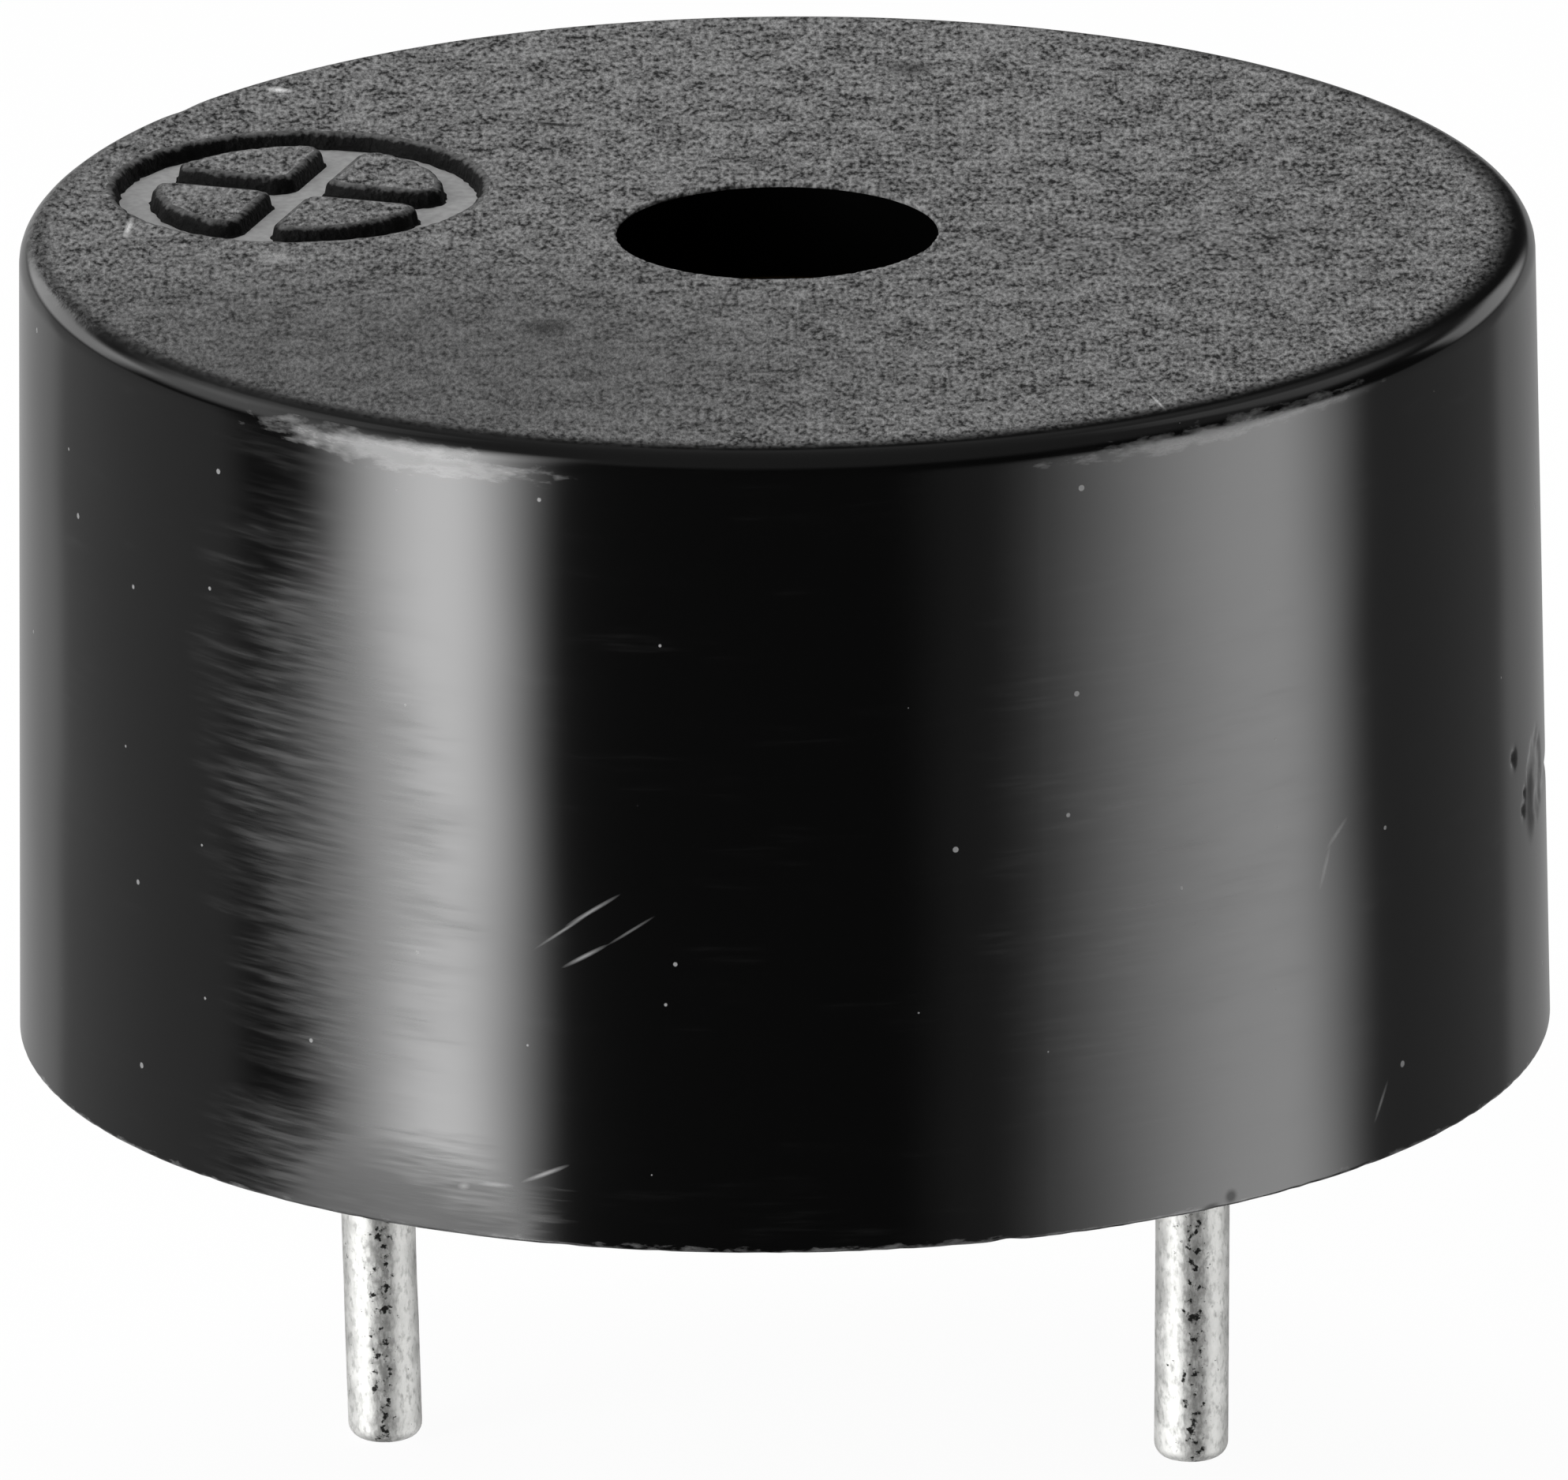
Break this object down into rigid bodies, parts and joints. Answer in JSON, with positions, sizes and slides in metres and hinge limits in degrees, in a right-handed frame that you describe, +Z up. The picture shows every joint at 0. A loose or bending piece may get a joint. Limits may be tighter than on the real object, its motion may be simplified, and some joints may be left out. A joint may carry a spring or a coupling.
{
  "type": "buzzer",
  "caption": "Round board-mount piezo buzzer: black moulded case with a central sound hole and an engraved polarity mark, standing on tinned pins.",
  "frame": {"origin": "centre of the case's open rim, in the plane that seats on the circuit board", "axes": "+Z up the case's axis towards the sound hole, +X from the positive pin to the negative pin"},
  "size_m": [0.0138, 0.0138, 0.0117],
  "materials": {
    "case_plastic": "moulded black plastic, spark-textured on top and smooth on the side",
    "potting_resin": "poured black epoxy resin",
    "tinned_wire": "bright dipped tin on copper-clad wire",
    "disc_brass": "rolled brass sheet",
    "silicone_seal": "white silicone rubber bead",
    "piezo_ceramic": "fired lead zirconate titanate",
    "fired_silver": "dull fired silver paste",
    "board_laminate": "glass-epoxy laminate with green mask",
    "track_copper": "etched copper foil",
    "solder": "reflowed tin solder",
    "wire_sleeve": "extruded vinyl sleeve over copper strands",
    "transistor_epoxy": "moulded black epoxy",
    "chip_ceramic": "alumina chip under a black glaze"
  },
  "bodies": {
    "root": {"case": "case_plastic", "resin_potting": "potting_resin", "positive_pin": "tinned_wire", "negative_pin": "tinned_wire", "brass_disc": "disc_brass", "disc_seal": "silicone_seal", "ceramic_disc": "piezo_ceramic", "drive_electrode": "fired_silver", "feedback_electrode": "fired_silver", "circuit_board": "board_laminate", "copper_tracks": "track_copper", "pin_solder": "solder", "drive_wire": "wire_sleeve", "feedback_wire": "wire_sleeve", "ground_wire": "wire_sleeve", "disc_solder": "solder", "board_solder": "solder", "transistor_body": "transistor_epoxy", "transistor_leads": "tinned_wire", "component_solder": "solder", "load_resistor": "chip_ceramic", "load_resistor_caps": "solder", "bias_resistor": "chip_ceramic", "bias_resistor_caps": "solder", "feedback_resistor": "chip_ceramic", "feedback_resistor_caps": "solder"}
  },
  "joints": []
}
